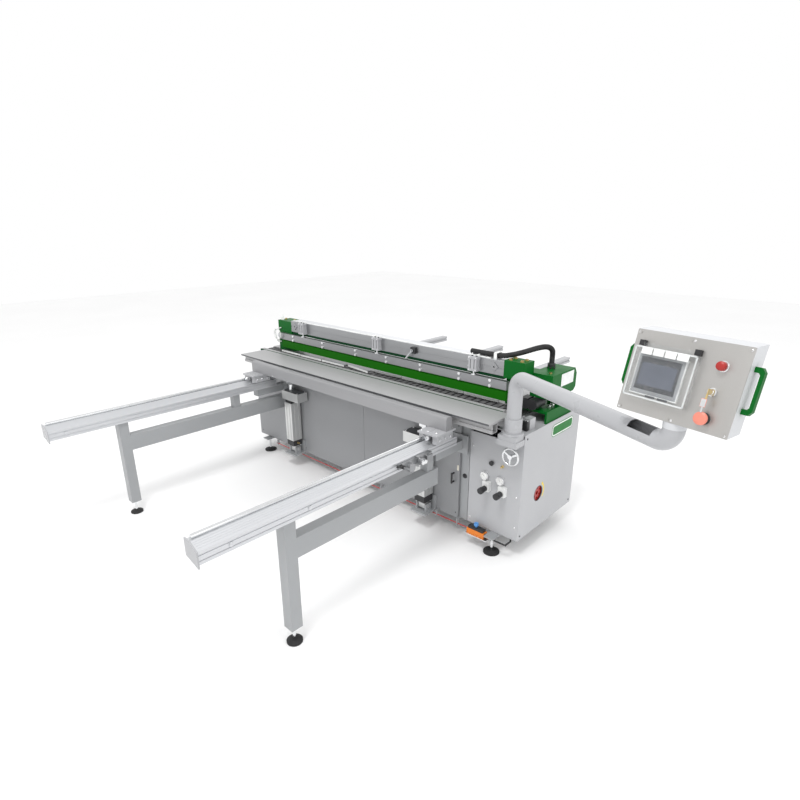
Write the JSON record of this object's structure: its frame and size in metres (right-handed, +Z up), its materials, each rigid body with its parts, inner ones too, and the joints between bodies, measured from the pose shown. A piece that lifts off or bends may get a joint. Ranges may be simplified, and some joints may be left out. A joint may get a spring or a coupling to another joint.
{
  "type": "sheet butt-welding and bending machine",
  "caption": "Long cabinet machine with a tilting table, clamp beam over a heated slot, guide arms with a sliding gauge beam and a swivel-arm control box.",
  "frame": {"origin": "middle of the footprint on the floor", "axes": "+X along the machine to the operator's right, +Y to the rear, +Z up"},
  "size_m": [3.5898, 3.18, 1.4685],
  "materials": {
    "panel_grey": "satin powder coat",
    "wall_grey": "satin powder coat",
    "frame_steel": "satin paint",
    "machined_steel": "ground",
    "dark_steel": "ground",
    "black_rubber": "matt",
    "aluminium": "anodised",
    "chrome": "polished",
    "green_paint": "gloss enamel",
    "jaw_green": "gloss enamel",
    "black_plastic": "fine grain",
    "orange_plastic": "smooth",
    "blue_plastic": "smooth",
    "red_plastic": "smooth",
    "red_rope": "sheathed",
    "clear_plastic": "clear",
    "brass": "plain",
    "white_paint": "satin",
    "stainless": "brushed"
  },
  "bodies": {
    "machine": {"side_panel_left": "panel_grey", "side_panel_right": "panel_grey", "front_panel_left": "wall_grey", "front_panel_centre": "wall_grey", "front_panel_right": "panel_grey", "rear_panel": "panel_grey", "end_deck": "panel_grey", "base_frame": "frame_steel", "levelling_feet": "black_rubber", "fixed_bed": "panel_grey", "slot_insert": "black_rubber", "slot_covers": "machined_steel", "rear_arm_left": "panel_grey", "rear_arm_middle": "panel_grey", "rear_arm_right": "panel_grey", "arm_rail_left": "aluminium", "arm_rail_right": "aluminium", "arm_frame_left": "frame_steel", "arm_frame_right": "frame_steel", "lift_brackets": "frame_steel", "stop_block": "machined_steel", "clamp_beam": "machined_steel", "end_block_left": "green_paint", "end_block_right": "green_paint", "clamp_cylinders": "white_paint", "drive_housing": "green_paint", "drive_motor": "black_plastic", "beam_conduit": "black_plastic", "rope_posts": "frame_steel", "pull_rope": "red_rope", "rope_switch": "orange_plastic", "regulators": "brass", "post_sleeve": "white_paint"},
    "blade_body": {"heating_blade": "dark_steel"},
    "table_body": {"front_table": "machined_steel"},
    "lift_left": {"lift_cylinder_left": "aluminium"},
    "lift_right": {"lift_cylinder_right": "aluminium"},
    "rod_left": {"lift_rod_left": "chrome"},
    "rod_right": {"lift_rod_right": "chrome"},
    "gauge_body": {"gauge_beam": "aluminium", "carriage_left": "white_paint", "carriage_right": "white_paint"},
    "stop_lever_body": {"stop_lever": "black_plastic"},
    "clamp_body": {"clamp_bar": "machined_steel", "clamp_jaw": "jaw_green", "clamp_bolts": "chrome", "clamp_rods": "chrome"},
    "latch_body": {"latch_lever": "machined_steel"},
    "coupling_body": {"drive_coupling": "red_plastic"},
    "reset_body": {"reset_knob": "blue_plastic"},
    "button_body": {"panel_button": "blue_plastic"},
    "knob_left": {"regulator_knob_left": "black_plastic"},
    "knob_right": {"regulator_knob_right": "black_plastic"},
    "wheel_body": {"handwheel": "chrome"},
    "arm_body": {"control_arm": "white_paint"},
    "box_body": {"control_box": "white_paint", "control_plate": "stainless"},
    "cover_body": {"clear_cover": "clear_plastic"},
    "key_body": {"panel_key": "brass"},
    "stop_body": {"stop_button": "red_plastic"}
  },
  "joints": [
    {"name": "table_tilt", "type": "hinge", "parent": "machine", "child": "table_body", "pos_m": [-0.55093, 0.135, 0.85], "axis": [-1, 0, 0], "range_deg": [0, 60]},
    {"name": "lift_swing_left", "type": "hinge", "parent": "machine", "child": "lift_left", "pos_m": [-1.22893, 0.007, 0.15], "axis": [1, 0, 0], "range_deg": [0, 1.6]},
    {"name": "lift_stroke_left", "type": "slide", "parent": "lift_left", "child": "rod_left", "axis": [0, 0, 1], "range_m": [0, 0.153]},
    {"name": "lift_swing_right", "type": "hinge", "parent": "machine", "child": "lift_right", "pos_m": [0.10907, 0.007, 0.15], "axis": [1, 0, 0], "range_deg": [0, 1.6]},
    {"name": "lift_stroke_right", "type": "slide", "parent": "lift_right", "child": "rod_right", "axis": [0, 0, 1], "range_m": [0, 0.153]},
    {"name": "gauge_travel", "type": "slide", "parent": "machine", "child": "gauge_body", "axis": [0, -1, 0], "range_m": [0, 1.28]},
    {"name": "clamp_stroke", "type": "slide", "parent": "machine", "child": "clamp_body", "axis": [0, 0, -1], "range_m": [0, 0.018]},
    {"name": "blade_rise", "type": "slide", "parent": "machine", "child": "blade_body", "axis": [0, 0, 1], "range_m": [0, 0.03]},
    {"name": "stop_lever_turn", "type": "hinge", "parent": "machine", "child": "stop_lever_body", "pos_m": [0.38057, -0.502, 0.676], "axis": [1, 0, 0], "range_deg": [-90, 20]},
    {"name": "latch_turn", "type": "hinge", "parent": "machine", "child": "latch_body", "pos_m": [-0.17693, 0.21, 1.066], "axis": [0, 1, 0], "range_deg": [0, 90]},
    {"name": "drive_turn", "type": "hinge", "parent": "machine", "child": "coupling_body", "pos_m": [0.67507, 0.287, 0.348], "axis": [1, 0, 0], "continuous": true},
    {"name": "reset_push", "type": "slide", "parent": "machine", "child": "reset_body", "axis": [0, 0, -1], "range_m": [0, 0.005], "stiffness_N_per_m": 300},
    {"name": "button_push", "type": "slide", "parent": "machine", "child": "button_body", "axis": [0, 1, 0], "range_m": [0, 0.003], "stiffness_N_per_m": 400},
    {"name": "regulator_left_turn", "type": "hinge", "parent": "machine", "child": "knob_left", "pos_m": [0.53007, 0.02, 0.393], "axis": [0, -1, 0], "range_deg": [-150, 150]},
    {"name": "regulator_right_turn", "type": "hinge", "parent": "machine", "child": "knob_right", "pos_m": [0.63507, 0.02, 0.393], "axis": [0, -1, 0], "range_deg": [-150, 150]},
    {"name": "handwheel_turn", "type": "hinge", "parent": "machine", "child": "wheel_body", "pos_m": [0.69707, 0.025, 0.649], "axis": [0, -1, 0], "continuous": true},
    {"name": "arm_swivel", "type": "hinge", "parent": "machine", "child": "arm_body", "pos_m": [0.68307, 0.055, 0.8], "axis": [0, 0, 1], "range_deg": [-80, 30]},
    {"name": "box_swivel", "type": "hinge", "parent": "arm_body", "child": "box_body", "pos_m": [1.56274, -0.35613, 1.152], "axis": [0, 0, 1], "range_deg": [-90, 90]},
    {"name": "cover_lift", "type": "hinge", "parent": "box_body", "child": "cover_body", "pos_m": [1.49547, -0.33978, 1.42099], "axis": [-0.9744, 0.225, 0], "range_deg": [0, 110]},
    {"name": "key_turn", "type": "hinge", "parent": "box_body", "child": "key_body", "pos_m": [1.66436, -0.38617, 1.30942], "axis": [-0.2183, -0.9454, 0.2419], "range_deg": [-90, 0]},
    {"name": "stop_push", "type": "slide", "parent": "box_body", "child": "stop_body", "axis": [0.2183, 0.9454, -0.2419], "range_m": [0, 0.006], "stiffness_N_per_m": 800}
  ],
  "couplings": [
    {"joint": "lift_stroke_left", "follows": "table_tilt", "m_per_rad": 0.14504},
    {"joint": "lift_swing_left", "follows": "table_tilt", "ratio": 0.0262},
    {"joint": "lift_stroke_right", "follows": "table_tilt", "m_per_rad": 0.14504},
    {"joint": "lift_swing_right", "follows": "table_tilt", "ratio": 0.0262}
  ]
}
